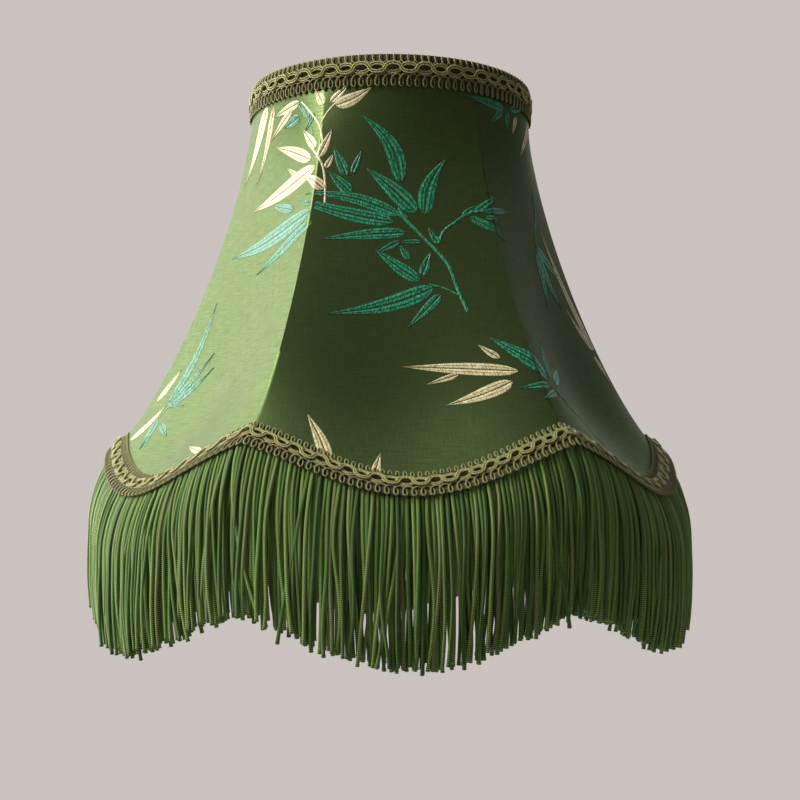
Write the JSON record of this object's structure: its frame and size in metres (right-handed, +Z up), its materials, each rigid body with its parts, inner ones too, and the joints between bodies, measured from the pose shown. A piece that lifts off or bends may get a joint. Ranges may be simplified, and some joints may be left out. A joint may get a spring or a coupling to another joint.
{
  "type": "lamp shade",
  "caption": "Fringed fabric lamp shade that flares from a round top ring to a scalloped base, with braid trim and a tilting fitter ring.",
  "frame": {"origin": "centre of the fitter ring's hole, level with the ring's underside, where it sits on the lamp holder", "axes": "+Z up along the shade's axis, -Y towards the front at the middle of a panel, and X along the tilting axis through the two pivots"},
  "size_m": [0.3354, 0.3354, 0.3066],
  "materials": {
    "steel": "zinc-plated wire and pressed ring, satin",
    "tape": "unbleached cotton binding tape, matt",
    "brocade": "dark green satin brocade woven with emerald and cream bamboo sprays",
    "lining": "cream satin lining, soft sheen",
    "braid": "olive rayon scroll gimp, corded",
    "fringe": "leaf green rayon cord, matt with a soft sheen"
  },
  "bodies": {
    "fitter": {"fitter_ring": "steel", "fitter_arm_left": "steel", "fitter_arm_right": "steel"},
    "shade": {"top_ring": "steel", "base_ring": "steel", "rib_1": "steel", "rib_2": "steel", "rib_3": "steel", "rib_4": "steel", "rib_5": "steel", "rib_6": "steel", "stay_left": "steel", "stay_right": "steel", "rivet_left": "steel", "rivet_right": "steel", "top_ring_tape": "tape", "base_ring_tape": "tape", "rib_tape_1": "tape", "rib_tape_2": "tape", "rib_tape_3": "tape", "rib_tape_4": "tape", "rib_tape_5": "tape", "rib_tape_6": "tape", "cover_front": "brocade", "cover_back": "brocade", "lining_front": "lining", "lining_back": "lining", "neatener_left": "lining", "neatener_right": "lining", "top_braid": "braid", "base_braid": "braid", "fringe_heading": "fringe", "fringe_1": "fringe", "fringe_2": "fringe", "fringe_3": "fringe", "fringe_4": "fringe", "fringe_5": "fringe", "fringe_6": "fringe"}
  },
  "joints": [
    {"name": "gimbal_tilt", "type": "hinge", "parent": "fitter", "child": "shade", "pos_m": [0, 0, 0.035], "axis": [1, 0, 0], "range_deg": [-20, 20]}
  ]
}
